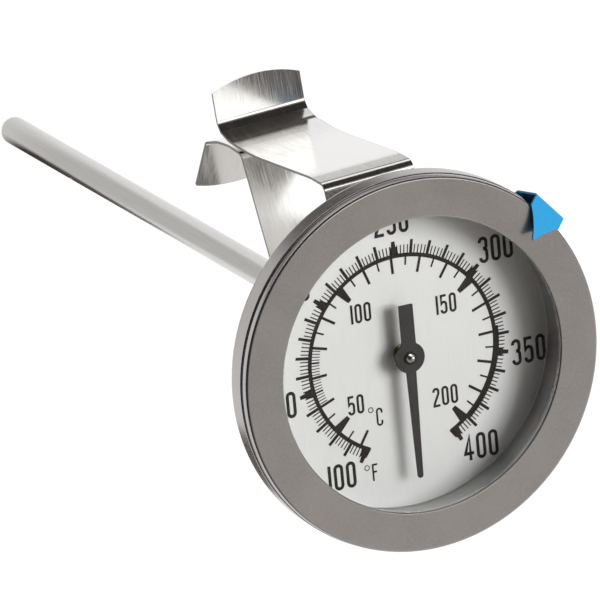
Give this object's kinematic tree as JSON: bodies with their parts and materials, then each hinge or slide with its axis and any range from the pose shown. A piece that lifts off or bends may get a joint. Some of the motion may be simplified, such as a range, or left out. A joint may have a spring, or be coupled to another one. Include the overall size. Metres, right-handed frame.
{
  "type": "dial thermometer",
  "caption": "Bimetal dial thermometer with a long thin stem, a round glazed head, a sliding bent-strip pot clip and a target marker on the bezel.",
  "frame": {"origin": "on the stem's axis, in the plane of the lower shoulder of the hexagonal collar", "axes": "+Z along the stem's axis, the way the dial faces, so the stem points to -Z; +Y towards the dial's twelve o'clock; +X to the right as the dial is read"},
  "size_m": [0.051, 0.0559, 0.1421],
  "materials": {
    "case_steel": "drawn stainless steel, satin",
    "bezel_steel": "satin stainless steel with a fine turned grain",
    "lens_glass": "clear flat glass",
    "seal_rubber": "black silicone rubber",
    "inner_ring_aluminium": "satin",
    "dial_face": "satin silver-white paint with dark print",
    "stem_steel": "drawn stainless tube, finely polished",
    "collar_steel": "turned stainless steel",
    "fibre_washer": "red-brown vulcanised fibre",
    "bush_brass": "turned",
    "bimetal_strip": "rolled bimetal",
    "shaft_steel": "ground",
    "pointer_black": "dark grey satin paint",
    "boss_brass": "turned",
    "marker_blue": "bright blue gloss paint",
    "clip_steel": "bright rolled stainless spring strip"
  },
  "bodies": {
    "stem": {"stem_tube": "stem_steel", "stem_tip": "stem_steel", "stem_collar": "collar_steel", "collar_washer": "fibre_washer", "retaining_ring": "case_steel", "upper_guide_bush": "bush_brass", "middle_guide_bush": "bush_brass", "lower_guide_bush": "bush_brass", "helix_anchor": "bush_brass", "bimetal_helix": "bimetal_strip"},
    "head": {"case_cup": "case_steel", "bezel_ring": "bezel_steel", "lens": "lens_glass", "lens_gasket": "seal_rubber", "spacer_ring": "inner_ring_aluminium", "dial_plate": "dial_face"},
    "movement": {"pointer_shaft": "shaft_steel", "shaft_ferrule": "bush_brass", "pointer": "pointer_black", "pointer_boss": "boss_brass"},
    "marker": {"target_marker": "marker_blue"},
    "clip": {"pot_clip": "clip_steel"}
  },
  "joints": [
    {"name": "calibration_turn", "type": "hinge", "parent": "stem", "child": "head", "pos_m": [0, 0, 0.0051], "axis": [0, 0, 1], "range_deg": [-30, 30]},
    {"name": "pointer_turn", "type": "hinge", "parent": "stem", "child": "movement", "pos_m": [0, 0, 0.0089], "axis": [0, 0, -1], "range_deg": [-22, 331.5], "stiffness_Nm_per_rad": 0.0007},
    {"name": "marker_turn", "type": "hinge", "parent": "head", "child": "marker", "pos_m": [0, 0, 0.0133], "axis": [0, 0, 1], "continuous": true},
    {"name": "clip_slide", "type": "slide", "parent": "stem", "child": "clip", "axis": [0, 0, -1], "range_m": [0, 0.1]}
  ]
}
